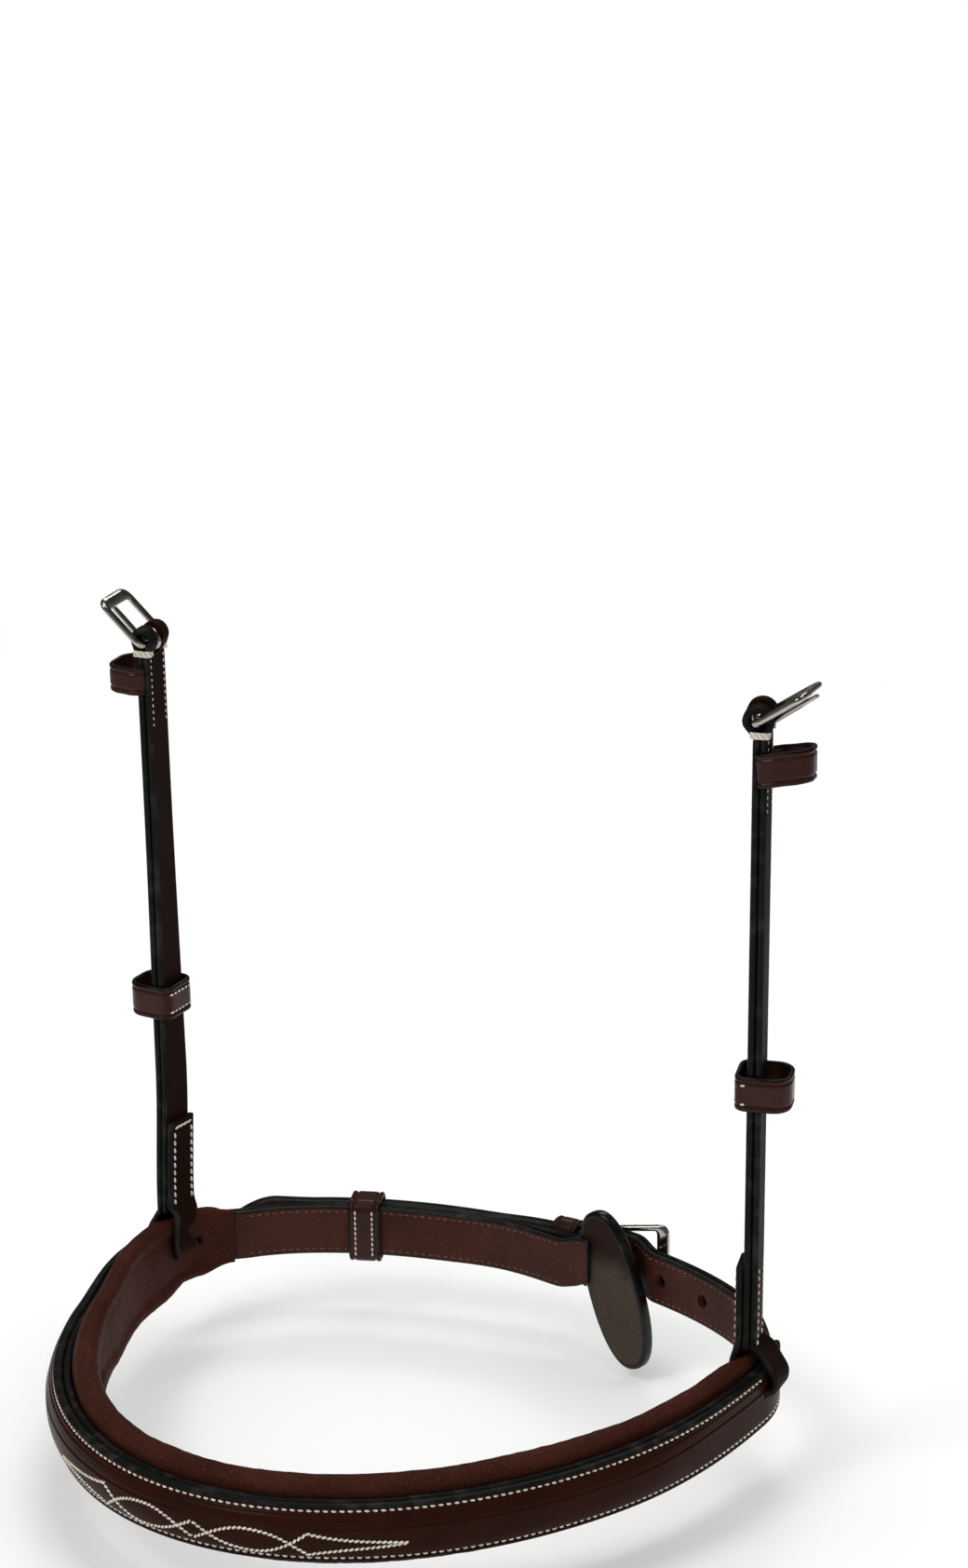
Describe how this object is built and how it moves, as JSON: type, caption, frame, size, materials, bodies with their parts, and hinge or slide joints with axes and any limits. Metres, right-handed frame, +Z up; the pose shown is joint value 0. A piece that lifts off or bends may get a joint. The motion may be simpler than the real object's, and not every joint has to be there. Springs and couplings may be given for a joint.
{
  "type": "hunter noseband",
  "caption": "Padded leather noseband with a raised stitched nosepiece, buckled cheek straps and a buckled jaw strap with a chin flap.",
  "frame": {"origin": "middle of the muzzle opening, level with the lower edge of the nosepiece at the nose", "axes": "+Z up along the cheek straps, -Y towards the nose, +X towards the horse's near side"},
  "size_m": [0.2715, 0.2419, 0.2747],
  "materials": {
    "face_leather": "very dark brown bridle leather, satin, rows of cream stitching",
    "strap_leather": "very dark brown bridle leather with charcoal edges, satin",
    "lining_leather": "soft reddish-brown lining leather with a fine grain",
    "filler_leather": "plain undyed leather, hidden",
    "keeper_leather": "dark burgundy-brown glossy leather with creased edges",
    "flap_leather": "matte grey-brown leather with a black edge",
    "buckle_steel": "polished stainless steel"
  },
  "bodies": {
    "noseband": {"nosepiece_face": "face_leather", "nosepiece_filler": "filler_leather", "nosepiece_padding": "lining_leather", "band_strap": "strap_leather", "far_back_strap": "strap_leather", "far_back_lining": "lining_leather", "near_billet_strap": "strap_leather", "near_billet_lining": "lining_leather", "back_fixed_keeper": "keeper_leather", "near_cheek_loop": "strap_leather", "far_cheek_loop": "strap_leather", "chin_flap": "flap_leather"},
    "near_cheek": {"near_cheek_strap": "strap_leather", "near_cheek_lining": "strap_leather", "near_upper_keeper": "keeper_leather"},
    "far_cheek": {"far_cheek_strap": "strap_leather", "far_cheek_lining": "strap_leather", "far_upper_keeper": "keeper_leather"},
    "near_keeper": {"near_lower_keeper": "keeper_leather"},
    "far_keeper": {"far_lower_keeper": "keeper_leather"},
    "near_buckle": {"near_buckle_frame": "buckle_steel"},
    "far_buckle": {"far_buckle_frame": "buckle_steel"},
    "near_tongue": {"near_buckle_tongue": "buckle_steel"},
    "far_tongue": {"far_buckle_tongue": "buckle_steel"},
    "back_keeper": {"back_loose_keeper": "keeper_leather"},
    "back_buckle": {"back_buckle_frame": "buckle_steel", "back_buckle_tongue": "buckle_steel"}
  },
  "joints": [
    {"name": "near_cheek_fold", "type": "hinge", "parent": "noseband", "child": "near_cheek", "pos_m": [0.11196, 0.00476, 0.0315], "axis": [-0.3118, 0.9495, 0.0349], "range_deg": [-20, 75]},
    {"name": "far_cheek_fold", "type": "hinge", "parent": "noseband", "child": "far_cheek", "pos_m": [-0.11532, 0.00524, 0.0315], "axis": [0.0004, -0.9994, -0.0349], "range_deg": [-20, 75]},
    {"name": "near_keeper_slide", "type": "slide", "parent": "near_cheek", "child": "near_keeper", "axis": [0.0242, -0.0288, 0.9993], "range_m": [-0.049, 0.097]},
    {"name": "far_keeper_slide", "type": "slide", "parent": "far_cheek", "child": "far_keeper", "axis": [0.007, -0.0349, 0.9994], "range_m": [-0.038, 0.103]},
    {"name": "near_buckle_swing", "type": "hinge", "parent": "near_cheek", "child": "near_buckle", "pos_m": [0.1184, -0.00104, 0.24683], "axis": [-0.3118, 0.9495, 0.0349], "range_deg": [-124, 4]},
    {"name": "far_buckle_swing", "type": "hinge", "parent": "far_cheek", "child": "far_buckle", "pos_m": [-0.11516, -0.00208, 0.24118], "axis": [0.0004, -0.9994, -0.0349], "range_deg": [-106, 24]},
    {"name": "near_tongue_swing", "type": "hinge", "parent": "near_buckle", "child": "near_tongue", "pos_m": [0.1184, -0.00104, 0.24683], "axis": [-0.3118, 0.9495, 0.0349], "range_deg": [0, 34]},
    {"name": "far_tongue_swing", "type": "hinge", "parent": "far_buckle", "child": "far_tongue", "pos_m": [-0.11516, -0.00208, 0.24118], "axis": [0.0004, -0.9994, -0.0349], "range_deg": [0, 34]},
    {"name": "back_keeper_slide", "type": "slide", "parent": "noseband", "child": "back_keeper", "axis": [0.9251, 0.3797, 0], "range_m": [-0.004, 0.004]},
    {"name": "back_buckle_swing", "type": "hinge", "parent": "noseband", "child": "back_buckle", "pos_m": [0.02771, 0.06326, 0.0167], "axis": [0, 0, 1], "range_deg": [0, 7]}
  ]
}
